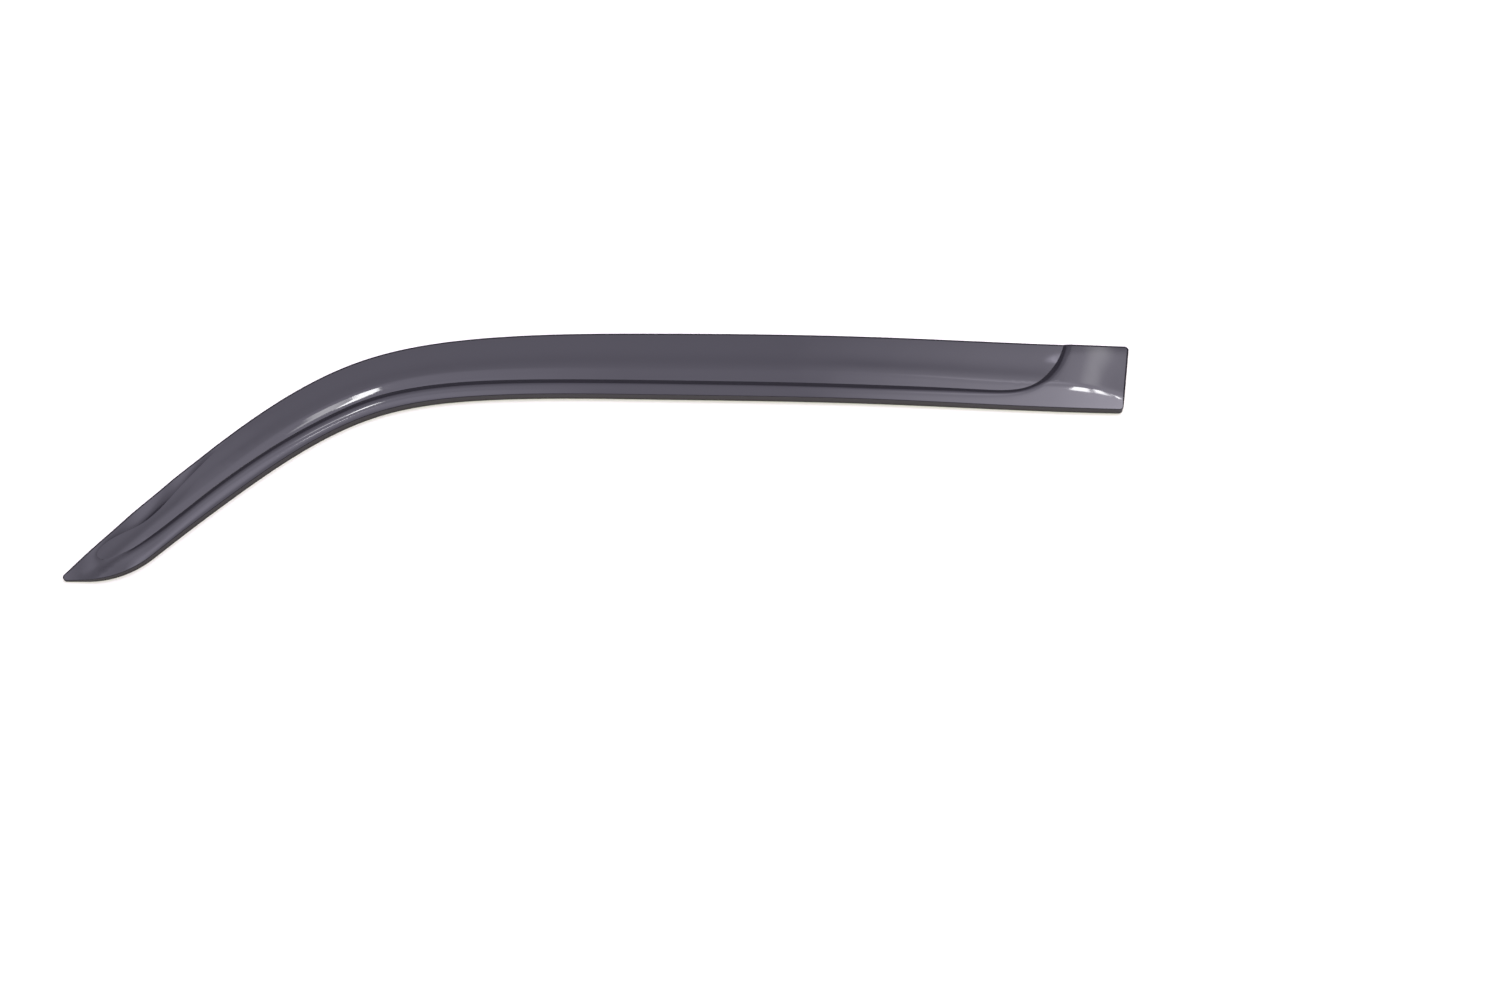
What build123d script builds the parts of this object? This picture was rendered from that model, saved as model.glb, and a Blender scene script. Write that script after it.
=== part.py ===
"""Window rain deflector for a left front door, moulded from one sheet of dark acrylic.

Frame, in millimetres: the deflector lies with its hollow side down on Z = 0. +X points to the
rear of the car, +Y to the roof and +Z away from the glass. The origin is on the middle of the
bonding land, below the highest point of the upper edge.
"""

import os
from math import cos, radians, sin, tan

from build123d import *

# Sheet and cross-section
wall = 3.0
land_width = 14.0
band_width = 71.4
ledge_width = 15.0
frame_height = 5.0
crest_height = 13.0
lip_fall = 1.5
bend_radius = 60.0
ridge_radius = 25.0
rim_radius = 3.0
corner_radius = 4.0

# Recess that makes the panel, with its drafted step
step_depth = 3.0
step_draft = 25.0
step_radius = 1.5
rim_width = 9.5
blank_width = 62.5
recess_sweep = 64.5
recess_angle = 60.0
recess_tip_run = 33.0
recess_tip_rise = 25.8
recess_tip_growth = 2.0
rim_places = (0.085, 0.13)
rim_end_place = 0.175
rim_exit_place = 0.2
rim_end_growth = 0.5
ledge_spans = 6
land_relief = 0.3

# Upper edge, which follows the door frame: runs from its highest point and drops below it
rear_run = 472.5
rear_drop = 14.5
rear_bend_run = 230.0
rear_bend_drop = 4.1
bend_run = 157.0
bend_drop = 5.0
shoulder_run = 279.4
shoulder_drop = 30.7
leg_run = 421.2
leg_drop = 129.8
tip_run = 551.0
tip_drop = 264.3
leg_angle = 49.2
rear_angle = 1.0

# Lower edge: widths square to the upper edge, and the foot that turns in to the tip
rear_width = 72.3
rear_rake = 10.5
rear_bend_width = 72.6
bend_width = 67.5
shoulder_width = 63.0
leg_width = 55.0
ankle_width = 49.5
ankle_place = 0.07
ankle_angle = 43.0

# Working values
section_count = 11
overrun = 25.0
tip_overrun = 2 * band_width
base_depth = 20.0
apex_level = land_width / 2
panel_crest = crest_height - step_depth

# Limits on the Z part of a direction, by which faces and edges are told apart
upright_face = 0.02
level_edge = 0.7
crest_edge = 0.5
draft_tolerance = 0.1


def direction(angle):
    """Unit vector in the XY plane at an angle in degrees from +X."""
    return Vector(cos(radians(angle)), sin(radians(angle)))


def beside(edge, place, distance):
    """Point at a distance square to the edge, on its right-hand side, which is inside the band."""
    tangent = edge % place
    return edge @ place + Vector(tangent.Y, -tangent.X) * distance


# Upper edge, from the tip of the leg to the rear end
upper_points = [
    (-tip_run, apex_level - tip_drop),
    (-leg_run, apex_level - leg_drop),
    (-shoulder_run, apex_level - shoulder_drop),
    (-bend_run, apex_level - bend_drop),
    (0, apex_level),
    (rear_bend_run, apex_level - rear_bend_drop),
    (rear_run, apex_level - rear_drop),
]
upper_tangents = [direction(leg_angle), direction(-rear_angle)]

with BuildLine() as upper_line:
    upper_edge = Spline(*upper_points, tangents=upper_tangents)

upper_places = [upper_edge.param_at_point(point) for point in upper_points[1:-1]]
leg_place, shoulder_place, bend_place, apex_place, rear_bend_place = upper_places

# Lower edge, from the rear end to the ankle, where the foot begins
lower_points = [
    Vector(rear_run - rear_rake, apex_level - rear_drop - rear_width),
    beside(upper_edge, rear_bend_place, rear_bend_width),
    beside(upper_edge, apex_place, band_width),
    beside(upper_edge, bend_place, bend_width),
    beside(upper_edge, shoulder_place, shoulder_width),
    beside(upper_edge, leg_place, leg_width),
    beside(upper_edge, ankle_place, ankle_width),
]
lower_tangents = [direction(180 - rear_angle), direction(180 + ankle_angle)]

with BuildLine() as lower_line:
    lower_edge = Spline(*lower_points, tangents=lower_tangents)

lower_places = [lower_edge.param_at_point(point) for point in lower_points[1:-1]]

# The foot is an arc that turns the lower edge in to a level end
foot_height = (lower_edge @ 1).Y - (upper_edge @ 0).Y
foot_radius = foot_height / (1 - cos(radians(ankle_angle)))


def inset_corner(corner, edge_way, end_way, inset):
    """Corner moved inwards by the inset from both of the sides that meet there."""
    edge_normal = Vector(edge_way.Y, -edge_way.X)
    end_normal = Vector(end_way.Y, -end_way.X)
    return corner + (edge_normal + end_normal) * (inset / (1 + edge_normal.dot(end_normal)))


def band_sketch(inset):
    """Plan of the whole piece, or of the same outline moved inwards."""
    rear_way = (lower_edge @ 0 - upper_edge @ 1).normalized()
    tip = inset_corner(upper_edge @ 0, upper_edge % 0, Vector(-1, 0), inset)
    rear_top = inset_corner(upper_edge @ 1, upper_edge % 1, rear_way, inset)
    rear_low = inset_corner(lower_edge @ 0, lower_edge % 0, rear_way, inset)
    upper_inner = [beside(upper_edge, place, inset) for place in upper_places]
    lower_inner = [beside(lower_edge, place, inset) for place in lower_places]
    with BuildSketch() as plan:
        with BuildLine():
            Spline(tip, *upper_inner, rear_top, tangents=upper_tangents)
            Line(rear_top, rear_low)
            low = Spline(rear_low, *lower_inner, beside(lower_edge, 1, inset), tangents=lower_tangents)
            foot = JernArc(low @ 1, low % 1, foot_radius - inset, -ankle_angle)
            Line(foot @ 1, tip)
        make_face()
        corners = plan.vertices().sort_by(Axis.X)
        fillet([corners[0], corners[-2], corners[-1]], corner_radius - inset)
    return plan.sketch


# Guide for the cross-sections: the lower edge, run on straight past both of its ends
with BuildLine() as guide:
    Line(lower_edge @ 0 - lower_edge % 0 * band_width, lower_edge @ 0)
    add(lower_edge)
    Line(lower_edge @ 1, lower_edge @ 1 + lower_edge % 1 * tip_overrun)


def section_places():
    """Point on the upper edge, direction across the band and local width of each cross-section."""
    places = []
    for index in range(section_count):
        along = index / (section_count - 1)
        start = upper_edge @ along
        if index == 0:
            start -= upper_edge % 0 * overrun
        if index == section_count - 1:
            start += upper_edge % 1 * overrun
        end = guide.line.closest_points(Vertex(start))[0]
        places.append((start, (end - start).normalized(), (end - start).length))
    return places


def crowned_form(edge_level, crest_level):
    """Filled form below a crowned face: flat land, rising panel, soft ridge and falling ledge."""
    with BuildPart() as form:
        for start, across, width in section_places():
            share = width / band_width
            ridge = width - ledge_width
            ridge_level = edge_level + (crest_level - edge_level) * share
            far = width + overrun
            far_level = ridge_level - lip_fall / ledge_width * (far - ridge)
            plane = Plane(start, x_dir=across, z_dir=across.cross(Vector(0, 0, 1)))
            with BuildSketch(plane):
                with BuildLine():
                    FilletPolyline(
                        (-overrun, edge_level),
                        (land_width * share, edge_level),
                        (ridge, ridge_level),
                        (far, far_level),
                        radius=[bend_radius, ridge_radius],
                    )
                    Polyline(
                        (far, far_level),
                        (far, -base_depth),
                        (-overrun, -base_depth),
                        (-overrun, edge_level),
                    )
                make_face()
        loft()
    return form.part


def recess_sketch(grow, level):
    """Plan of the recess at a level, grown outwards: ledge side, pointed end, rim and rear sweep."""
    turn_run = rear_run - blank_width - recess_sweep
    turn_place = lower_edge.param_at_point(guide.line.closest_points(Vertex(turn_run, -band_width))[0])
    ledge_places = [turn_place + (1 - turn_place) * span / ledge_spans for span in range(ledge_spans + 1)]
    ledge_points = [beside(lower_edge, place, ledge_width - grow) for place in ledge_places]
    leg_way = direction(leg_angle)
    tip_place = upper_edge @ 0 + Vector(recess_tip_run, recess_tip_rise)
    pointed_end = tip_place - leg_way * grow * recess_tip_growth
    rim_points = [beside(upper_edge, place, rim_width - grow) for place in rim_places]
    rim_end = beside(upper_edge, rim_end_place, -grow * rim_end_growth)
    rear_corner = Vector(rear_run - blank_width + grow, apex_level - rear_drop)
    with BuildSketch(Plane.XY.offset(level)) as plan:
        with BuildLine():
            Spline(*ledge_points, pointed_end)
            rim = Spline(pointed_end, *rim_points, rim_end, beside(upper_edge, rim_exit_place, -overrun))
            outside = Polyline(
                rim @ 1,
                (-leg_run, overrun + band_width),
                (rear_run, overrun + band_width),
                rear_corner + direction(recess_angle) * overrun,
            )
            Spline(
                outside @ 1,
                rear_corner,
                ledge_points[0],
                tangents=[-direction(recess_angle), lower_edge % turn_place],
            )
        make_face()
    return plan.sketch


def recess_cutter(grow, floor):
    """Block above a panel floor, with walls that lean back by the draft of the step."""
    lean = tan(radians(step_draft))
    top_level = crest_height + base_depth
    with BuildPart() as cutter:
        add(recess_sketch(grow - panel_crest * lean, 0))
        add(recess_sketch(grow + (top_level - panel_crest) * lean, top_level))
        loft(ruled=True)
        add(floor, mode=Mode.SUBTRACT)
    return cutter.part


panel_floor = crowned_form(wall, panel_crest)

# Hollow below the sheet, a wall's thickness inside every outer face
with BuildPart() as hollow:
    add(band_sketch(wall))
    extrude(amount=crest_height + base_depth)
    add(crowned_form(frame_height - wall, crest_height - wall), mode=Mode.INTERSECT)
    add(
        recess_cutter(wall, crowned_form(-land_relief, panel_crest - wall - land_relief)),
        mode=Mode.SUBTRACT,
    )

# Moulded shell
with BuildPart() as deflector_shell:
    add(band_sketch(0))
    extrude(amount=crest_height + base_depth)
    add(crowned_form(frame_height, crest_height), mode=Mode.INTERSECT)
    side_faces = deflector_shell.faces().filter_by(lambda face: abs(face.normal_at().Z) < upright_face)
    base_edges = deflector_shell.faces().sort_by(Axis.Z)[0].edges()
    rim_edges = side_faces.edges().filter_by(lambda edge: abs((edge % 0.5).Z) < level_edge) - base_edges
    fillet(rim_edges, rim_radius)
    add(recess_cutter(0, panel_floor), mode=Mode.SUBTRACT)
    step_walls = deflector_shell.faces().filter_by(
        lambda face: abs(face.normal_at().Z - sin(radians(step_draft))) < draft_tolerance
    )
    crest_edges = step_walls.edges().filter_by(
        lambda edge: abs((edge % 0.5).Z) < crest_edge
        and panel_floor.distance_to(edge @ 0.5) > step_radius / 2
    )
    fillet(crest_edges, step_radius)
    add(hollow.part, mode=Mode.SUBTRACT)

deflector_shell.part.label = "deflector_shell"
os.makedirs("parts", exist_ok=True)
export_step(deflector_shell.part, "parts/deflector_shell.step")
print("volume, cubic centimetres:", round(deflector_shell.part.volume / 1000, 1))
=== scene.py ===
# %% [markdown]
# # Window rain deflector
#
# A deflector is a long strip of dark smoked acrylic that is bonded along the top of a car's side
# window. It keeps the rain out when the window is open a little. It is made from one sheet, heated
# and formed over a tool, so it is one shell with smooth faces and no joints.
#
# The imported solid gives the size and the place. This script draws the same shell again as a finer
# net, because a mirror-like finish shows every facet, and gives it its acrylic and its studio.

import bpy
import numpy as np
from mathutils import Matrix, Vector
from mathutils.geometry import delaunay_2d_cdt


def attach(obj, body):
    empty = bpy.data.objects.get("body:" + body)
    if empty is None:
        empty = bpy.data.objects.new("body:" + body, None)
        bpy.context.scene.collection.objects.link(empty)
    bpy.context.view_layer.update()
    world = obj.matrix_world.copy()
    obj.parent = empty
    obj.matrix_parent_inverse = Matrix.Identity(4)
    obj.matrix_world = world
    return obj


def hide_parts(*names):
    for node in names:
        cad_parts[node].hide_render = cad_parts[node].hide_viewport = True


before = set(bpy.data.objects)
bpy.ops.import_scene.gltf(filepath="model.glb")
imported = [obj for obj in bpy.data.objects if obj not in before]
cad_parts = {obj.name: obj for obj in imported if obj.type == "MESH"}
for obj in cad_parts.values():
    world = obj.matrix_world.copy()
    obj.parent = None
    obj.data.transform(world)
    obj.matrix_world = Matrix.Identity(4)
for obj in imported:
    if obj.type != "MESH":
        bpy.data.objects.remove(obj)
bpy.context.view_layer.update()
print("packed nodes:", sorted(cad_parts))

# %% [markdown]
# ## The camera
#
# The deflector lies on a table and the camera looks down on it steeply from the front. A long lens
# from far away keeps the two ends nearly the same size. The camera comes first, so that every later
# step can be judged in the same view.

# %% Camera
lens_length = 66.0
sensor_width = 36.0
camera_place = (0.10114, -1.28256, 2.38119)
camera_tilt = 25.0
camera_data = bpy.data.cameras.new("camera")
camera_data.sensor_width = sensor_width
camera_data.lens = lens_length
camera = bpy.data.objects.new("camera", camera_data)
camera.location = camera_place
camera.rotation_euler = (np.radians(camera_tilt), 0.0, 0.0)
bpy.context.scene.collection.objects.link(camera)
bpy.context.scene.camera = camera
bpy.context.scene.view_settings.view_transform = "Standard"
print("camera looks down by", 90.0 - camera_tilt, "degrees")

# %% [markdown]
# ## The plan of the moulding
#
# In plan the deflector is a band between two long curves: the upper edge follows the door frame and
# the lower edge hangs over the glass. Both are drawn through a few points, as with a bent spline on
# a drawing board. Bezier curves with automatic handles would do too, but a true spline bends more
# evenly, and a glossy face shows where the bend changes.

# %% Lines drawn through points
MM = 0.001
net_spacing = 1.5 * MM


def way(degrees):
    """Unit direction in plan at an angle from +X."""
    return np.array([np.cos(np.radians(degrees)), np.sin(np.radians(degrees))])


def drawn_line(points, first_way, last_way):
    """Evenly spaced points on a spline that bends smoothly through the given ones."""
    points = np.array(points)
    chords = np.linalg.norm(np.diff(points, axis=0), axis=1)
    system = np.eye(len(points))
    pulls = np.zeros_like(points)
    pulls[0] = first_way
    pulls[-1] = last_way
    for i in range(1, len(points) - 1):
        before, after = chords[i - 1], chords[i]
        system[i, i - 1 : i + 2] = after, 2 * (before + after), before
        rise_in = (points[i] - points[i - 1]) / before
        rise_out = (points[i + 1] - points[i]) / after
        pulls[i] = 3 * (after * rise_in + before * rise_out)
    slopes = np.linalg.solve(system, pulls)
    drawn = []
    for i, chord in enumerate(chords):
        t = np.linspace(0, 1, int(chord / net_spacing) + 2)[:-1, None]
        start = (1 + 2 * t) * (1 - t) ** 2 * points[i] + t * (1 - t) ** 2 * chord * slopes[i]
        end = t**2 * (3 - 2 * t) * points[i + 1] + t**2 * (t - 1) * chord * slopes[i + 1]
        drawn.append(start + end)
    return np.concatenate(drawn + [points[-1:]])


def length_along(line):
    """Distance from the line's start to each of its points."""
    return np.concatenate([[0.0], np.cumsum(np.linalg.norm(np.diff(line, axis=0), axis=1))])


print("lines get a point every", net_spacing / MM, "mm")

# %% Upper edge
upper_points = MM * np.array(
    [
        (-551.0, -257.3),
        (-421.2, -122.8),
        (-279.4, -23.7),
        (-157.0, 2.0),
        (0.0, 7.0),
        (230.0, 2.9),
        (472.5, -7.5),
    ]
)
leg_angle = 49.2
rear_angle = 1.0
upper_edge = drawn_line(upper_points, way(leg_angle), way(-rear_angle))
print("upper edge is", round(length_along(upper_edge)[-1], 3), "m long")

# %% [markdown]
# ## The lower edge
#
# The band is a little wider at the rear than in the leg. So the lower edge is drawn through points at
# a few widths from the upper edge, from the rear end to the ankle, where the leg's foot begins.

# %% Lower edge
band_width = 71.4 * MM
lower_widths = np.array([49.5 * MM, 55.0 * MM, 63.0 * MM, 67.5 * MM, band_width, 72.6 * MM])
ankle_reach = 78.0 * MM
ankle_angle = 43.0
rear_low = np.array([462.0, -79.8]) * MM


def right_of(line):
    """Unit direction to the right of the line at each of its points, which is inside the band."""
    run = np.gradient(line, axis=0)
    run /= np.linalg.norm(run, axis=1)[:, None]
    return np.stack([run[:, 1], -run[:, 0]], axis=1)


upper_inward = right_of(upper_edge)
ankle_index = np.argmin(abs(length_along(upper_edge) - ankle_reach))
station_indices = [ankle_index] + [
    np.argmin(np.linalg.norm(upper_edge - point, axis=1)) for point in upper_points[1:-1]
]
lower_points = upper_edge[station_indices] + upper_inward[station_indices] * lower_widths[:, None]
lower_edge = drawn_line(
    [rear_low, *lower_points[::-1]], way(180 - rear_angle), way(180 + ankle_angle)
)
print("lower edge is", round(length_along(lower_edge)[-1], 3), "m long")

# %% [markdown]
# ## The outline
#
# The lower edge ends in a foot: an arc that turns in to the pointed tip of the leg. The three
# corners are rounded by small arcs that touch both of their sides, as the edge of a cut sheet is
# rounded so that it is safe to handle.

# %% Rounded corners
corner_radius = 4.1 * MM
corner_margin = 1.02


def corner_arc(corner, way_in, way_out, radius):
    """Points of a small arc that rounds a corner, and how far from the corner it starts."""
    turn = np.arccos(np.clip(way_in @ way_out, -1, 1))
    reach = radius * np.tan(turn / 2)
    side = np.array([way_in[1], -way_in[0]])
    centre = corner - way_in * reach + side * radius
    angles = np.linspace(0, turn, int(radius * turn / (net_spacing / 2)) + 2)[:, None]
    return centre - side * radius * np.cos(angles) + way_in * radius * np.sin(angles), reach


def clear_of(line, corners, reaches):
    """The line without its points near rounded corners."""
    keep = np.ones(len(line), bool)
    for corner, reach in zip(corners, reaches):
        keep &= np.linalg.norm(line - corner, axis=1) > reach * corner_margin
    return line[keep]


tip = upper_edge[0]
rear_top = upper_edge[-1]
rear_way = (rear_low - rear_top) / np.linalg.norm(rear_low - rear_top)
tip_arc, tip_reach = corner_arc(tip, way(180), way(leg_angle), corner_radius)
top_arc, top_reach = corner_arc(rear_top, way(-rear_angle), rear_way, corner_radius)
low_arc, low_reach = corner_arc(rear_low, rear_way, way(180 - rear_angle), corner_radius)
print("corner arcs have", len(tip_arc), len(top_arc), len(low_arc), "points")

# %% Foot and outline
foot_arc_count = 24
foot_line_count = 14
rear_line_count = 48
ankle = lower_edge[-1]
ankle_turn = np.radians(ankle_angle)
foot_radius = (ankle[1] - tip[1]) / (1 - np.cos(ankle_turn))
foot_centre = ankle + foot_radius * np.array([-np.sin(ankle_turn), np.cos(ankle_turn)])
foot_turns = np.radians(np.linspace(ankle_angle, 0, foot_arc_count))[1:, None]
foot_arc = foot_centre + foot_radius * np.hstack([np.sin(foot_turns), -np.cos(foot_turns)])
foot_line = np.linspace(foot_arc[-1], tip, foot_line_count)[1:]
rear_line = np.linspace(rear_top, rear_low, rear_line_count)[1:-1]
lip_line = np.concatenate([lower_edge, foot_arc, foot_line])
corners = [tip, rear_top, rear_low]
reaches = [tip_reach, top_reach, low_reach]
outline = np.concatenate(
    [
        tip_arc,
        clear_of(upper_edge, corners, reaches),
        top_arc,
        clear_of(rear_line, corners, reaches),
        low_arc,
        clear_of(lip_line, corners, reaches),
    ]
)
print("outline has", len(outline), "points")

# %% [markdown]
# ## The border of the panel
#
# The window panel of the deflector is recessed, and the frame round it stands proud. The border is
# one line: a sweep from the upper edge down to the ledge at the rear, along the ledge and the leg,
# round a blunt point in the leg's end, and back along the rim until it runs out at the upper edge.
# It is drawn as the long edges are, through points in millimetres, because its bends are as soft.

# %% Border of the panel
sweep_points = [
    (415.6, 18.0), (408.0, -7.8), (399.6, -27.5), (388.3, -42.4), (376.0, -52.4), (355.3, -58.0)
]
ledge_points = [
    (329.1, -57.9), (285.5, -55.5), (227.4, -52.9), (149.7, -50.2), (52.6, -48.2), (-44.6, -46.7)
]
shoulder_points = [(-141.8, -47.4), (-219.2, -54.4), (-269.9, -68.0)]
leg_points = [
    (-307.1, -86.4), (-345.2, -110.1), (-377.5, -133.8), (-413.8, -164.4), (-469.0, -215.2)
]
end_points = [
    (-488.0, -228.8), (-503.0, -234.9), (-511.5, -236.2), (-516.0, -231.5), (-512.5, -222.5)
]
rim_points = [
    (-478.2, -200.5), (-449.7, -169.2), (-432.6, -146.2), (-412.7, -121.6), (-385.0, -86.0)
]
border_points = sweep_points + ledge_points + shoulder_points + leg_points + end_points + rim_points
sweep_angle = 248.0
rim_angle = 53.0
panel_border = drawn_line(np.array(border_points) * MM, way(sweep_angle), way(rim_angle))
print("panel border is", round(length_along(panel_border)[-1], 3), "m long")

# %% [markdown]
# ## Measures of a spot
#
# Across the band the sheet climbs gently from the upper edge, which is bonded to the door frame, to a
# soft ridge, and then falls a little to the lower lip. So the height of any spot follows from how far
# it is from the two edges and from the panel's border, and from its X. A lofted surface would do this
# too, but heights worked out from distances are quick to change, and they give smooth normals.


# %% Distances in plan
def distance_to(line, spots):
    """Shortest distance in plan from each spot to a line of points."""
    best = np.full(len(spots), np.inf)
    for start, run in zip(line[:-1], np.diff(line, axis=0)):
        share = np.clip(((spots - start) @ run) / (run @ run), 0, 1)
        best = np.minimum(best, ((spots - start - share[:, None] * run) ** 2).sum(axis=1))
    return np.sqrt(best)


def inside(loop, spots):
    """True for each spot inside a closed loop of points."""
    result = np.zeros(len(spots), bool)
    for (x0, y0), (x1, y1) in zip(loop, np.roll(loop, -1, axis=0)):
        if y0 != y1:
            crosses = (y0 > spots[:, 1]) != (y1 > spots[:, 1])
            result ^= crosses & (spots[:, 0] < (x1 - x0) * (spots[:, 1] - y0) / (y1 - y0) + x0)
    return result


panel_middle = np.array([[0.0, -25.0 * MM]])
middle_depth = distance_to(upper_edge, panel_middle)[0]
print("panel's middle is", round(middle_depth / MM, 1), "mm from the upper edge")

# %% Measures from the edges and the border
past_ends = 0.15
above_band = 0.1
edge_stride = 3
border_stride = 2
before_tip = tip - way(leg_angle) * past_ends
past_rear_top = rear_top + way(-rear_angle) * past_ends
upper_guide = np.concatenate([[before_tip], upper_edge[::edge_stride], [past_rear_top]])
before_rear_low = rear_low - way(180 - rear_angle) * past_ends
past_ankle = ankle + way(180 + ankle_angle) * past_ends
lower_guide = np.concatenate([[before_rear_low], lower_edge[::edge_stride], [past_ankle]])
border_guide = panel_border[::border_stride]
loop_closing = [[panel_border[-1, 0], above_band], [rear_top[0], above_band]]
panel_loop = np.concatenate([panel_border, loop_closing])


def measured(spots):
    """Distances of each spot from the upper edge, the lower edge and the border, and its X."""
    from_border = distance_to(border_guide, spots)
    past_border = np.where(inside(panel_loop, spots), -from_border, from_border)
    return distance_to(upper_guide, spots), distance_to(lower_guide, spots), past_border, spots[:, 0]


middle_measures = measured(panel_middle)
print("panel's middle is", round(-middle_measures[2][0] / MM, 1), "mm inside the border")

# %% [markdown]
# ## The ridge
#
# The ridge is the soft bend that stiffens the sheet. It runs along the lower edge and nears the lip at
# the rear end. Two small helpers do all such changes: a ramp with a rounded start for a bend, and a
# share that eases in and out for a change along the band. Where a size changes, the two places
# between which it does are given as X in metres.

# %% Ridge along the band
ridge_width = 28.0 * MM
rear_ridge_width = 24.0 * MM
ridge_turn = (0.18, 0.4)
ridge_end = (0.4, 0.465)
ridge_end_fall = 10.0 * MM


def soft_ramp(distance, blend):
    """Zero below 0 and the distance itself above it, with a rounded start as long as two blends."""
    eased = np.clip(distance + blend, 0, 2 * blend) ** 2 / (4 * blend)
    return np.where(distance > blend, distance, eased)


def eased_share(values, limits):
    """Share of the way from the first limit to the second, easing in and out."""
    share = np.clip((values - limits[0]) / (limits[1] - limits[0]), 0, 1)
    return share * share * (3 - 2 * share)


def end_bend(along):
    """Bend of the rear end: nothing until the end begins, then growing to 1."""
    return np.clip((along - ridge_end[0]) / (ridge_end[1] - ridge_end[0]), 0, None) ** 2


def ridge_distance(along, width):
    """Distance of the ridge from the lower edge, which shrinks towards the rear end."""
    narrowing = (rear_ridge_width - ridge_width) * eased_share(along, ridge_turn)
    rear = narrowing - ridge_end_fall * end_bend(along)
    return (ridge_width + rear) * width / band_width


rear_ridge = ridge_distance(rear_low[0], band_width)
print("ridge nears the lip from", round(ridge_width / MM), "to", round(rear_ridge / MM), "mm")

# %% [markdown]
# ## The section
#
# The panel and the frame have the same section at two levels: edge, rise, ridge and lip. One function
# gives either. The frame also rolls down at the upper edge and at the lip, and falls away at the rear
# end. These rolls are under a millimetre, but the reflections of the lamps show them.

# %% Section of the panel and the frame
edge_level = {"panel": 3.0 * MM, "frame": 5.0 * MM}
crest_level = {"panel": 8.6 * MM, "frame": 12.4 * MM}
rear_crest_fall = {"panel": 0.0, "frame": 0.9 * MM}
edge_roll = {"panel": 0.0, "frame": 0.45 * MM}
edge_roll_width = 15.0 * MM
ridge_blend = {"panel": 2.0 * MM, "frame": 4.5 * MM}
leg_ridge_blend = 9.0 * MM
leg_turn = (-0.38, 0.0)
lip_slope = {"panel": 0.03, "frame": 0.07}
lip_roll = {"leg": 0.6 * MM, "band": 0.1 * MM}
lip_roll_width = 5.0 * MM
rear_fall = 1.3 * MM
blank_fall = 0.6 * MM


def section_height(measures, part):
    """Height of the panel or the frame: up from the upper edge to the ridge, and down to the lip."""
    from_upper, from_lower, _, along = measures
    width = from_upper + from_lower
    ridge = ridge_distance(along, width)
    edge = edge_level[part]
    crest = crest_level[part] - rear_crest_fall[part] * eased_share(along, ridge_turn)
    rise = ((crest - edge) * width / band_width - edge_roll[part]) / (width - ridge)
    rolled = edge_roll[part] * (1 - np.clip(1 - from_upper / edge_roll_width, 0, None) ** 2)
    blend = ridge_blend[part]
    if part == "panel":
        blend = leg_ridge_blend + (blend - leg_ridge_blend) * eased_share(along, leg_turn)
    past_ridge = soft_ramp(ridge - from_lower, blend)
    level = edge + rolled + rise * from_upper - (rise + lip_slope[part]) * past_ridge
    if part == "frame":
        roll = lip_roll["leg"] + (lip_roll["band"] - lip_roll["leg"]) * eased_share(along, leg_turn)
        level = level - roll * np.clip(1 - from_lower / lip_roll_width, 0, None) ** 2
        level = level - rear_fall * end_bend(along) - blank_fall * eased_share(along, ridge_turn)
    return level


section_levels = {part: section_height(middle_measures, part)[0] / MM for part in edge_level}
print("section at the panel's middle, mm:", {part: round(v, 1) for part, v in section_levels.items()})

# %% Height of the panel
panel_sway = 0.11 * MM
sway_power = 2.1


def panel_height(measures):
    """Height of the recessed panel, which sways a little between the upper edge and the ridge."""
    from_upper, from_lower, _, along = measures
    width = from_upper + from_lower
    share = np.clip(from_upper / (width - ridge_distance(along, width)), 0, 1)
    return section_height(measures, "panel") - panel_sway * np.sin(2 * np.pi * share**sway_power)


print("panel's middle is", round(panel_height(middle_measures)[0] / MM, 1), "mm high")

# %% [markdown]
# ## The frame and its step
#
# Along the upper edge of the leg the frame turns into a flat flange, and the sheet waves a little
# there, as thin flanges do when they cool. All along the border the frame rolls down to the panel: it
# starts nearly level and ends steep, so the root of the step shows as a fine dark line. A straight
# drafted wall would mirror the lamps as a broad strip instead.

# %% Height of the frame
flange_level = 3.0 * MM
flange_slope = 0.06
flange_wave = 0.3 * MM
flange_wave_length = 38.0 * MM
flange_width = (14.0 * MM, 30.0 * MM)
tip_share = 0.22
tip_turn = (-0.54, -0.43)


def frame_height(measures):
    """Height of the proud frame, which turns into a flat flange along the upper edge of the leg."""
    from_upper, _, _, along = measures
    proud = section_height(measures, "frame")
    waves = flange_wave * np.sin(2 * np.pi * along / flange_wave_length)
    flange = flange_level + flange_slope * from_upper + waves
    proud_at_tip = tip_share + (1 - tip_share) * eased_share(along, tip_turn)
    share = eased_share(from_upper, flange_width) * proud_at_tip
    return np.where(along < 0, flange + (proud - flange) * share, proud)


step_depth = frame_height(middle_measures) - panel_height(middle_measures)
print("panel's middle lies", round(step_depth[0] / MM, 1), "mm behind the frame")

# %% Roll of the step
step_width = 16.0 * MM
sweep_step_width = 10.0 * MM
sweep_turn = (0.3, 0.38)
step_power = 3


def frame_face_height(measures):
    """Height of the frame with the roll down to the panel's border."""
    top = frame_height(measures)
    border_depth = top - panel_height(measures)
    width = step_width + (sweep_step_width - step_width) * eased_share(measures[3], sweep_turn)
    return top - border_depth * np.clip(1 - measures[2] / width, 0, None) ** step_power


print("step rolls over", step_width / MM, "mm, and over", sweep_step_width / MM, "mm at the sweep")

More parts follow.
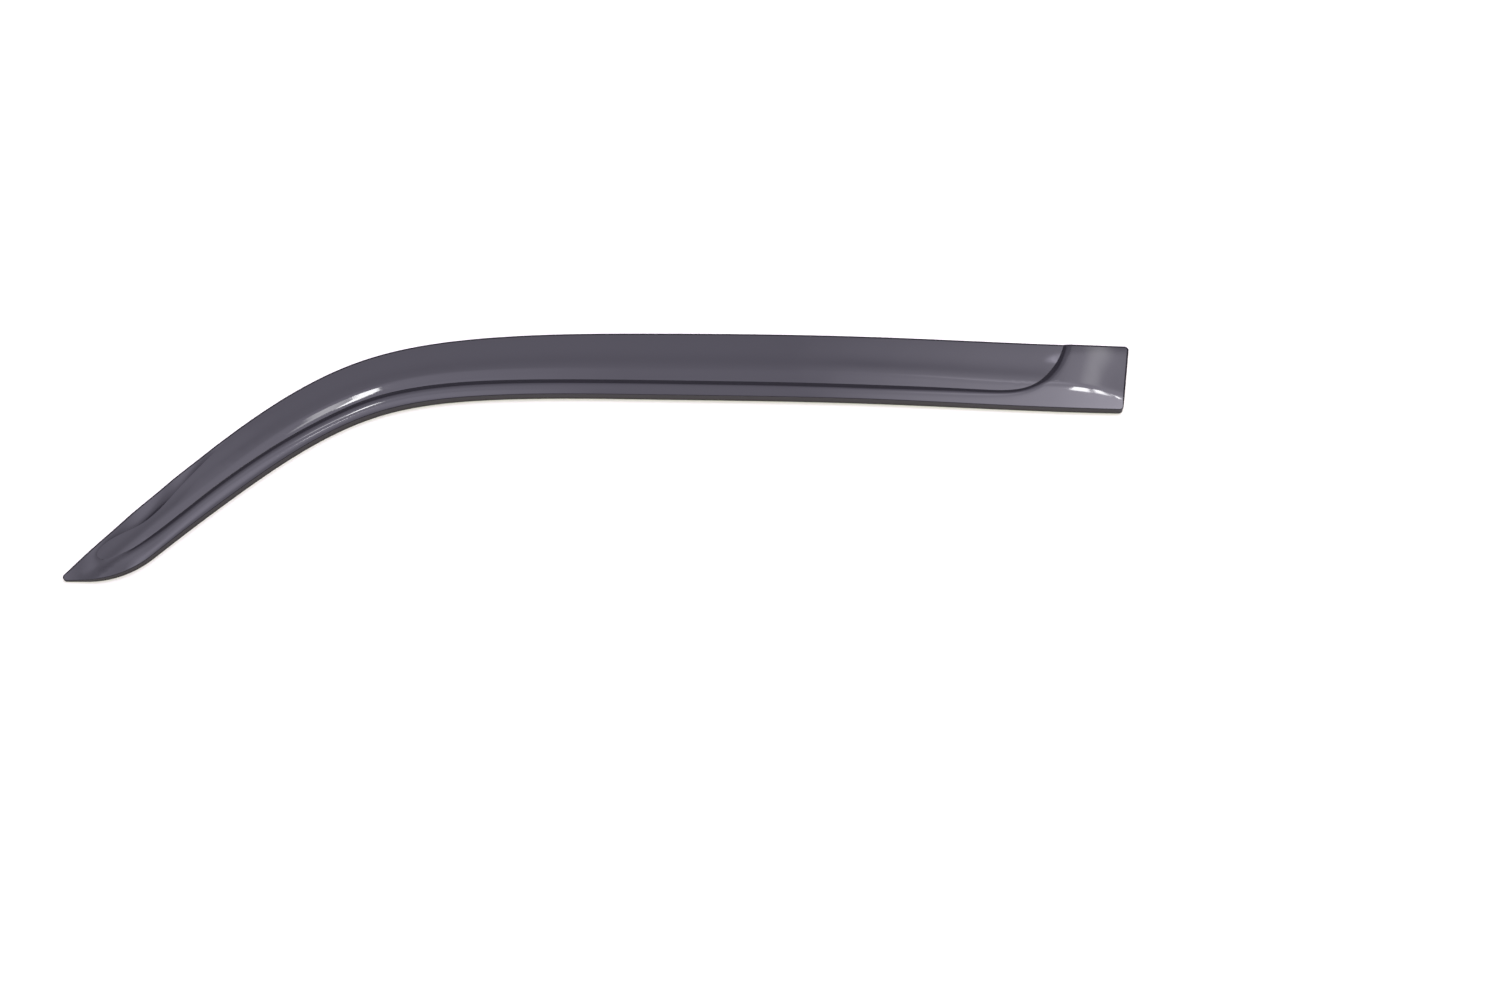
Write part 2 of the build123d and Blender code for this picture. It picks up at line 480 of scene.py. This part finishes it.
# %% [markdown]
# ## The hollow side
#
# A formed sheet is about as thick everywhere, so the hollow side follows the face at one wall's
# thickness. Along the upper edge it is flat, for the tape that bonds it to the door frame.

# %% Height of the hollow side
wall = 3.0 * MM
land_width = 14.0 * MM


def hollow_height(measures):
    """Height of the hollow side: a wall below the panel and below the frame, and flat at the land."""
    panel = section_height(measures, "panel")
    risen = np.clip(measures[2] / wall - 1, 0, 1)
    ceiling = panel + (frame_height(measures) - panel) * risen - wall
    return np.clip(np.minimum(ceiling, soft_ramp(measures[0] - land_width, wall)), 0, None)


print("bonding land is", land_width / MM, "mm wide")

# %% [markdown]
# ## The net
#
# The outer face becomes a net of triangles. Lines along the border and over the step go into it as
# fixed edges, and the rest is filled with loose points, so the net is fine where the sheet bends and
# coarse where it is nearly flat. A plain grid would cut across the slanting step and leave a saw edge.

# %% Ring inside the rim
rim_start = np.radians(55.0)
largest_rim = 3.6 * MM
lip_rim = 1.5 * MM
lip_reach = 10.0 * MM
rim_share = 1.5
outline_inward = right_of(np.concatenate([outline[-2:], outline, outline[:2]]))[2:-2]
closed_outline = np.concatenate([outline, outline[:1]])
rim_probe = measured(outline + outline_inward * wall)
on_panel = rim_probe[2] < 0
probe_height = np.where(on_panel, panel_height(rim_probe), frame_face_height(rim_probe))
lip_share = np.clip(1 - distance_to(lip_line, outline) / lip_reach, 0, 1)
rim_limit = largest_rim + (lip_rim - largest_rim) * lip_share
rim_radius = np.clip(rim_share * probe_height, 0, rim_limit)
inner_ring = outline + outline_inward * (rim_radius * np.cos(rim_start))[:, None]
print("rim radius is", round(rim_radius.min() / MM, 1), "to", round(rim_radius.max() / MM, 1), "mm")

# %% Lines along the border
border_steps = MM * np.array(
    [0.0, 0.4, 1.0, 2.0, 3.5, 5.5, 8.5, 12.0, 16.0, -0.6, -2.0, -5.0, -8.0]
)
border_clear = 0.4 * MM
offset_slack = 0.1 * MM
border_outward = -right_of(panel_border)
net_lines = []
for step in border_steps:
    line = panel_border + border_outward * step
    deep = distance_to(closed_outline, line) > largest_rim * np.cos(rim_start) + border_clear
    true_offset = distance_to(border_guide, line) > abs(step) - offset_slack
    net_lines.append((line, deep & true_offset & inside(outline, line)))
print("net gets", len(net_lines), "lines along the border")

# %% Loose points
ridge_steps = np.array([-6.0, -4.0, -2.0, -1.0, 0.0, 1.0, 2.0, 4.0, 6.0]) * MM
fill_spacing = 3.0 * MM
ridge_clear = 7.5 * MM
outline_clear = 4.0 * MM
panel_clear = 9.0 * MM
frame_clear = 17.5 * MM
lower_inward = right_of(lower_edge)
ridge_offset = ridge_distance(lower_edge[:, 0], distance_to(upper_guide, lower_edge))
ridge_spots = np.concatenate(
    [lower_edge + lower_inward * (ridge_offset + step)[:, None] for step in ridge_steps]
)
fill_x, fill_y = np.meshgrid(
    np.arange(outline[:, 0].min(), outline[:, 0].max(), fill_spacing),
    np.arange(outline[:, 1].min(), outline[:, 1].max(), fill_spacing),
)
fill = np.stack([fill_x.ravel(), fill_y.ravel()], axis=1)
fill = fill[inside(inner_ring, fill)]
from_ridge = abs(distance_to(lower_guide, fill) - ridge_distance(fill[:, 0], band_width))
fill = np.concatenate([fill[from_ridge > ridge_clear], ridge_spots[inside(inner_ring, ridge_spots)]])
fill = fill[distance_to(closed_outline, fill) > outline_clear]
border_limit = np.where(inside(panel_loop, fill), panel_clear, frame_clear)
fill = fill[distance_to(border_guide, fill) > border_limit]
print("net gets", len(fill), "loose points")

# %% Triangles of the net
# The spots are joined in millimetres, and the distance at which two of them merge is in millimetres too.
inside_only = 1
merge_distance = 1e-4
spots = [inner_ring]
edges = []
count = len(inner_ring)
for line, clear in net_lines:
    kept = np.flatnonzero(clear)
    index = dict(zip(kept, range(count, count + len(kept))))
    edges += [(index[i], index[i + 1]) for i in kept if i + 1 in index]
    spots.append(line[kept])
    count += len(kept)
spots = np.concatenate(spots + [fill])
ring_loop = list(range(len(inner_ring)))
spots_mm = [Vector(spot / MM) for spot in spots]
made = delaunay_2d_cdt(spots_mm, edges, [ring_loop], inside_only, merge_distance)
net = np.array([tuple(v) for v in made[0]]) * MM
net_faces = np.array(made[2])
ring_of = {source: i for i, sources in enumerate(made[3]) for source in sources}
ring_indices = np.array([ring_of[i] for i in ring_loop])
print("net has", len(net), "points and", len(net_faces), "triangles")

# %% [markdown]
# ## Heights and normals
#
# Each point of the net gets its height, and each face the normals of the true curve instead of the
# triangles' own, so the reflections run without a break. The normals come from the heights just
# beside the point. At the border a point has two: one of the panel and one of the step.

# %% Heights and normals of the net
probe = 0.05 * MM
probe_ways = ((1, 0), (-1, 0), (0, 1), (0, -1))
net_measures = measured(net)
side_measures = [measured(net + np.array(side) * probe) for side in probe_ways]


def face_normals(height):
    """Unit normals of a face that is given by its height, at each point of the net."""
    right, left, up, down = [height(measures) for measures in side_measures]
    normals = np.stack([left - right, down - up, np.full(len(net), 2 * probe)], axis=1)
    return normals / np.linalg.norm(normals, axis=1)[:, None]


panel_faces = inside(panel_loop, net[net_faces].mean(axis=1))
net_on_panel = np.zeros(len(net), bool)
net_on_panel[net_faces[panel_faces].ravel()] = True
net_height = np.where(net_on_panel, panel_height(net_measures), frame_face_height(net_measures))
panel_normals = face_normals(panel_height)
frame_normals = face_normals(frame_face_height)
net_hollow = hollow_height(net_measures)
hollow_normals = -face_normals(hollow_height)
print("outer face is", round(net_height.min() / MM, 1), "to", round(net_height.max() / MM, 1), "mm high")

# %% [markdown]
# ## The shell
#
# A formed sheet is trimmed with a cutter after it has cooled. So the face rolls over a little at the
# rim, in a few rings of points, and is then cut off square. The sheet is closed below by its cut edge,
# a thin foot on the table and the hollow side. A Solidify modifier would make the thickness too, but
# it would move the outline.

# %% Rings of the rim
ring_steps = 5
rim_turns = np.linspace(rim_start, np.radians(90.0), ring_steps)[:-1]
ring_count = len(outline)
ring_height = net_height[ring_indices]
ring_on_panel = net_on_panel[ring_indices][:, None]
ring_normals = np.where(ring_on_panel, panel_normals[ring_indices], frame_normals[ring_indices])
outward = np.column_stack([-outline_inward, np.zeros(ring_count)])
points = [np.column_stack([net, net_height]), np.column_stack([net, net_hollow])]
rings = []
base = 2 * len(net)
for turn in rim_turns:
    spot = outline + outline_inward * (rim_radius * (np.cos(rim_start) - np.cos(turn)))[:, None]
    level = ring_height - rim_radius * (1 - np.sin(turn))
    normal = outward * np.cos(turn) + ring_normals * np.sin(turn)
    rings.append((np.arange(ring_count) + base, normal / np.linalg.norm(normal, axis=1)[:, None]))
    points.append(np.column_stack([spot, level]))
    base += ring_count
rings.append((ring_indices, ring_normals))
foot_outer = np.arange(ring_count) + base
points.append(np.column_stack([outline, np.zeros(ring_count)]))
foot_inner = foot_outer + ring_count
points.append(np.column_stack([inner_ring, np.zeros(ring_count)]))
points = np.concatenate(points)
print("rim has", len(rim_turns), "rings of", ring_count, "points")

# %% Faces of the shell
# The cut edge is upright here. Its normals lean back a little, as on a drafted tool.
lip_draft = np.radians(18.0)
faces = []
normals = []


def add_strip(lower, upper, lower_normals, upper_normals):
    """A closed strip of four-sided faces between two rings, with the normals of its corners."""
    after = np.roll(np.arange(ring_count), -1)
    for i, j in enumerate(after):
        faces.append((lower[i], upper[i], upper[j], lower[j]))
        normals.extend([lower_normals[i], upper_normals[i], upper_normals[j], lower_normals[j]])


for face, face_on_panel in zip(net_faces, panel_faces):
    faces.append(tuple(face))
    normals.extend((panel_normals if face_on_panel else frame_normals)[face])
for face in net_faces:
    faces.append(tuple(face[::-1] + len(net)))
    normals.extend(hollow_normals[face[::-1]])
for (lower, lower_normals), (upper, upper_normals) in zip(rings[:-1], rings[1:]):
    add_strip(lower, upper, lower_normals, upper_normals)
downward = np.tile([0.0, 0.0, -1.0], (ring_count, 1))
drafted = outward * np.cos(lip_draft) - downward * np.sin(lip_draft)
add_strip(foot_outer, rings[0][0], drafted, drafted)
add_strip(foot_inner, foot_outer, downward, downward)
add_strip(ring_indices + len(net), foot_inner, -outward, -outward)
print("shell has", len(points), "points and", len(faces), "faces")

# %% Shell mesh
# The cut edge is marked, so that a warmer colour can be painted there: painted light, for the light that
# leaks out of the sheet.
shell_mesh = bpy.data.meshes.new("deflector")
shell_mesh.from_pydata(points.tolist(), [], [tuple(int(i) for i in face) for face in faces])
shell_mesh.polygons.foreach_set("use_smooth", np.ones(len(faces), bool))
shell_mesh.normals_split_custom_set([tuple(normal) for normal in normals])
leak_glow_paint = np.zeros(len(points))
leak_glow_paint[rings[0][0]] = 1.0
leak_glow_paint[foot_outer] = 1.0
shell_mesh.attributes.new("leak_glow_paint", "FLOAT", "POINT").data.foreach_set("value", leak_glow_paint)
shell_mesh.update()
deflector = bpy.data.objects.new("deflector", shell_mesh)
bpy.context.scene.collection.objects.link(deflector)
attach(deflector, "root")
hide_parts("deflector_shell")
print("cut edge has", int(leak_glow_paint.sum()), "marked points")

# %% [markdown]
# ## The acrylic
#
# Dark smoke acrylic is cast or extruded sheet with a polished face. Its colour is in the depth of
# the sheet, so what the eye meets first is a clear mirror of the room, and under it nearly black.
# A forming tool leaves long shallow waves, a fine peel and a thin haze, which break up the mirror. A
# full glass shader would bring out the depth too, but a sheet as dark as this shows next to none.


# %% Colours and nodes
def linear(hex_colour):
    """Linear RGBA of an sRGB hex colour."""
    values = [int(hex_colour[i : i + 2], 16) / 255 for i in (1, 3, 5)]
    return [v / 12.92 if v <= 0.04045 else ((v + 0.055) / 1.055) ** 2.4 for v in values] + [1.0]


def add_node(tree, kind, settings=None, **inputs):
    """Adds a node, sets its properties, and sets or links its inputs, by name or as _number."""
    node = tree.nodes.new(kind)
    for name, value in (settings or {}).items():
        setattr(node, name, value)
    for name, value in inputs.items():
        key = int(name[1:]) if name[1:].isdigit() else name.replace("_", " ")
        socket = node.inputs[key]
        if isinstance(value, bpy.types.NodeSocket):
            tree.links.new(value, socket)
        else:
            socket.default_value = value
    return node


print("middle grey in linear light:", round(linear("#808080")[0], 3))

# %% Waves, peel and haze
wave_length = 45.0 * MM
wave_height = 0.12 * MM
peel_length = 2.5 * MM
peel_height = 0.002 * MM
haze_length = 14.0 * MM
haze_range = (0.35, 0.75)
polished_roughness = 0.025
hazy_roughness = 0.06
acrylic = bpy.data.materials.new("smoke_acrylic")
acrylic.use_nodes = True
tree = acrylic.node_tree
tree.nodes.clear()
place = add_node(tree, "ShaderNodeTexCoord").outputs["Object"]
waves = add_node(tree, "ShaderNodeTexNoise", Vector=place, Scale=1 / wave_length, Detail=1.0)
wavy = add_node(tree, "ShaderNodeBump", Height=waves.outputs["Fac"], Distance=wave_height)
peel = add_node(tree, "ShaderNodeTexNoise", Vector=place, Scale=1 / peel_length, Detail=2.0)
peeled = add_node(
    tree,
    "ShaderNodeBump",
    Height=peel.outputs["Fac"],
    Distance=peel_height,
    Normal=wavy.outputs[0],
)
haze = add_node(
    tree, "ShaderNodeTexNoise", Vector=place, Scale=1 / haze_length, Detail=5.0, Roughness=0.7
)
hazed = add_node(
    tree,
    "ShaderNodeMapRange",
    Value=haze.outputs["Fac"],
    From_Min=haze_range[0],
    From_Max=haze_range[1],
    To_Min=polished_roughness,
    To_Max=hazy_roughness,
)
print("acrylic waves are", wave_length / MM, "mm long")

# %% Smoke acrylic
# The cut edge is painted a little warmer than the face: painted light, standing in for the light that
# leaks out of smoked sheet there.
# Light that goes through the sheet to the table comes out tinted, which gives the warm fringe there.
smoke = "#201e24"
painted_leak_colour = "#1e1a18"
through_tint = "#d4d8c4"
acrylic_ior = 1.49
edge_mark = add_node(tree, "ShaderNodeAttribute", {"attribute_name": "leak_glow_paint"})
tint = add_node(
    tree,
    "ShaderNodeMix",
    {"data_type": "RGBA"},
    Factor=edge_mark.outputs["Fac"],
    _6=linear(smoke),
    _7=linear(painted_leak_colour),
)
gloss = add_node(
    tree,
    "ShaderNodeBsdfPrincipled",
    Base_Color=tint.outputs[2],
    Roughness=hazed.outputs[0],
    IOR=acrylic_ior,
    Normal=peeled.outputs[0],
)
through = add_node(tree, "ShaderNodeBsdfTransparent", Color=linear(through_tint))
rays = add_node(tree, "ShaderNodeLightPath").outputs
to_table = add_node(
    tree,
    "ShaderNodeMath",
    {"operation": "MAXIMUM"},
    _0=rays["Is Shadow Ray"],
    _1=rays["Is Diffuse Ray"],
)
sheet = add_node(
    tree, "ShaderNodeMixShader", _0=to_table.outputs[0], _1=gloss.outputs[0], _2=through.outputs[0]
)
add_node(tree, "ShaderNodeOutputMaterial", Surface=sheet.outputs[0])
shell_mesh.materials.append(acrylic)
print("acrylic has", len(tree.nodes), "nodes")

# %% [markdown]
# ## The table
#
# The table is covered with white paper, which is matte and a little warm, so the eye sees no mirror in
# it, only the deflector's shadow. It is one large floor. The lamps light its middle to white, and
# further out, where they don't reach, it glows by itself for what the camera and the mirror of the
# acrylic see. A curved backdrop would do the same, but it would show in the reflections.

# %% Floor
floor_reach = 12.0
floor_level = -0.2 * MM
floor_ways = ((-1, -1), (1, -1), (1, 1), (-1, 1))
floor_mesh = bpy.data.meshes.new("floor")
floor_corners = [(x * floor_reach, y * floor_reach, floor_level) for x, y in floor_ways]
floor_mesh.from_pydata(floor_corners, [], [(0, 1, 2, 3)])
floor = bpy.data.objects.new("floor", floor_mesh)
bpy.context.scene.collection.objects.link(floor)
print("floor is", 2 * floor_reach, "m wide")

# %% White paper
paper_white = "#f8f5ee"
glow_distance = (0.8, 1.8)
glow_strength = (0.03, 1.0)
paper = bpy.data.materials.new("white_paper")
paper.use_nodes = True
tree = paper.node_tree
tree.nodes.clear()
matte = add_node(tree, "ShaderNodeBsdfDiffuse", Color=linear(paper_white))
rays = add_node(tree, "ShaderNodeLightPath").outputs
seen = rays["Is Camera Ray"]
for ray in ("Is Glossy Ray", "Is Transmission Ray"):
    seen = add_node(
        tree, "ShaderNodeMath", {"operation": "MAXIMUM"}, _0=seen, _1=rays[ray]
    ).outputs[0]
floor_spot = add_node(tree, "ShaderNodeTexCoord").outputs["Object"]
apart = add_node(tree, "ShaderNodeVectorMath", {"operation": "LENGTH"}, _0=floor_spot)
growing = add_node(
    tree,
    "ShaderNodeMapRange",
    Value=apart.outputs["Value"],
    From_Min=glow_distance[0],
    From_Max=glow_distance[1],
    To_Min=glow_strength[0],
    To_Max=glow_strength[1],
)
glow = add_node(tree, "ShaderNodeEmission", Strength=growing.outputs[0])
lit = add_node(tree, "ShaderNodeAddShader", _0=matte.outputs[0], _1=glow.outputs[0])
shown = add_node(tree, "ShaderNodeMixShader", _0=seen, _1=matte.outputs[0], _2=lit.outputs[0])
add_node(tree, "ShaderNodeOutputMaterial", Surface=shown.outputs[0])
floor_mesh.materials.append(paper)
print("paper glows fully from", glow_distance[1], "m")

# %% [markdown]
# ## The studio
#
# A black glossy thing is lit by what it mirrors. The panel mirrors the ceiling behind it, the ledge
# mirrors the ceiling above it, and the root of the step mirrors the darker foot of the room. So the
# lamps are soft panels on the ceiling, brighter to the right, and small bare lamps for the glints.
# One picture of a room round the scene would be quicker, but it couldn't be set spot by spot.

# %% World
world_white = "#fbf8ff"
world_strength = 0.25
world = bpy.data.worlds.new("studio")
bpy.context.scene.world = world
world.use_nodes = True
background = world.node_tree.nodes["Background"]
background.inputs["Color"].default_value = linear(world_white)
background.inputs["Strength"].default_value = world_strength
print("world gives a strength of", world_strength)

# %% Lamps that fade to their sides
# A place's share of a side, times the rest of it, is a quarter at the middle. Two sides make that a
# sixteenth, so the scale brings the middle of the lamp back to 1.
ceiling_height = 2.5
lamp_gap = 0.003
bow_scale = 16.0
bare_white = "#ffffff"


def ceiling_lamp(name, place, size, brightness, fade=1.0, colour=bare_white, turn=0.0):
    """A rectangular lamp, hung a little below the last one, that fades from middle to sides."""
    lamp = bpy.data.lights.new(name, "AREA")
    lamp.shape = "RECTANGLE"
    lamp.size, lamp.size_y = size
    lamp.energy = brightness * np.pi * size[0] * size[1]
    lamp.color = linear(colour)[:3]
    lamp.use_nodes = True
    tree = lamp.node_tree
    sides = add_node(tree, "ShaderNodeNewGeometry").outputs["Parametric"]
    sides = add_node(tree, "ShaderNodeSeparateXYZ", Vector=sides).outputs
    multiply = {"operation": "MULTIPLY"}
    strength = bow_scale
    for share in (sides["X"], sides["Y"]):
        rest = add_node(tree, "ShaderNodeMath", {"operation": "SUBTRACT"}, _0=1.0, _1=share)
        bow = add_node(tree, "ShaderNodeMath", multiply, _0=share, _1=rest.outputs[0])
        product = add_node(tree, "ShaderNodeMath", multiply, _0=strength, _1=bow.outputs[0])
        strength = product.outputs[0]
    faded = add_node(tree, "ShaderNodeMath", {"operation": "POWER"}, _0=strength, _1=fade)
    tree.links.new(faded.outputs[0], tree.nodes["Emission"].inputs["Strength"])
    lamp_object = bpy.data.objects.new(name, lamp)
    lamp_object.location = (*place, ceiling_height - lamp_gap * len(bpy.data.lights))
    lamp_object.rotation_euler = (0.0, 0.0, np.radians(turn))
    bpy.context.scene.collection.objects.link(lamp_object)


print("lamps hang", ceiling_height, "m above the table")

# %% [markdown]
# ## The lamps
#
# Three bare tubes make the row of glints at the rear end. Small lamps to the left make the bright wedge
# at the shoulder and the line of light on the ledge. Each is placed where the mirrored line of sight
# meets the ceiling, in metres. The camera would see a brightness of 1 as just white. Acrylic mirrors
# about a twenty-fifth of it, so a lamp that shows as a white glint is as bright as 24.

# %% Bare lamps for the glints
tubes = [
    ((0.8, 1.05), (0.065, 0.42)),
    ((0.872, 1.05), (0.038, 0.42)),
    ((0.91, 0.91), (0.02, 0.18)),
]
for tube, (tube_place, tube_size) in enumerate(tubes):
    ceiling_lamp(f"tube_{tube}", tube_place, tube_size, brightness=24.0, fade=0.15, turn=-10.0)
ceiling_lamp("left_lamp", (-0.755, 1.35), (0.075, 0.19), brightness=24.0, fade=0.1)
ceiling_lamp("ledge_lamp", (-0.6, 0.835), (0.09, 0.05), brightness=28.0, fade=0.6)
ceiling_lamp("left_lamp_edge", (-0.86, 1.34), (0.16, 0.16), brightness=6.5, fade=0.5)
ceiling_lamp("tube_glow", (1.075, 2.45), (0.2, 1.6), brightness=2.3, fade=2.0, turn=-4.0)
print("bare lamps:", len(bpy.data.lights))

# %% Soft panels for the faces
cool_white = "#eee9fe"
soft_white = "#f3eefc"
ceiling_lamp("right_back_panel", (1.0, 2.5), (0.44, 1.3), brightness=1.2, colour=soft_white)
ceiling_lamp("right_side_panel", (1.3, 2.55), (0.5, 0.9), brightness=0.8, colour=soft_white)
ceiling_lamp(
    "patch", (0.79, 2.08), (0.04, 0.08), brightness=6.0, fade=2.0, colour=cool_white, turn=-30.0
)
ceiling_lamp("right_strip", (0.66, 1.75), (0.5, 0.5), brightness=1.5, colour=soft_white)
ceiling_lamp("main_panel", (-0.4, 0.95), (5.6, 5.0), brightness=2.3, fade=0.8, colour=cool_white)
ceiling_lamp("left_panel", (-0.75, 0.5), (1.1, 1.2), brightness=2.2, colour=cool_white)
ceiling_lamp("left_back_panel", (-1.0, 1.3), (1.7, 1.2), brightness=1.0, colour=cool_white)
ceiling_lamp("right_panel", (1.2, 1.3), (2.0, 2.4), brightness=3.0, colour=soft_white)
ceiling_lamp("right_front_panel", (1.15, 0.3), (1.9, 1.8), brightness=3.2, colour=soft_white)
ceiling_lamp("right_front_lamp", (1.3, 0.3), (1.4, 1.8), brightness=4.0, colour=soft_white)
print("lamps in all:", len(bpy.data.lights))
